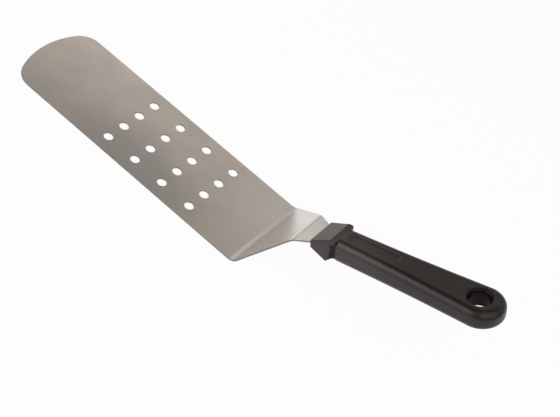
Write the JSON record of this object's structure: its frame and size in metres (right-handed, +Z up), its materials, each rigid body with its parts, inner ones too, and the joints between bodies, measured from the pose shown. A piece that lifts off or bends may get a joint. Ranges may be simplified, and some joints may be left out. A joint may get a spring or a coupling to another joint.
{
  "type": "perforated turner",
  "caption": "Kitchen turner: a long perforated steel blade, cranked up at its heel to a black plastic handle with a wedge guard, a thumb recess and a hang hole.",
  "frame": {"origin": "on the plane of the blade's underside, below the middle of the overall length and width", "axes": "+X along the turner from the blade's tip to the butt of the handle, +Y across the blade, +Z up from the blade's underside"},
  "size_m": [0.3742, 0.073, 0.0923],
  "materials": {
    "steel": "satin stainless, fine lines along the blade",
    "handle_plastic": "brown-black moulded plastic, fine matt grain"
  },
  "bodies": {
    "root": {"blade": "steel", "handle": "handle_plastic"}
  },
  "joints": []
}
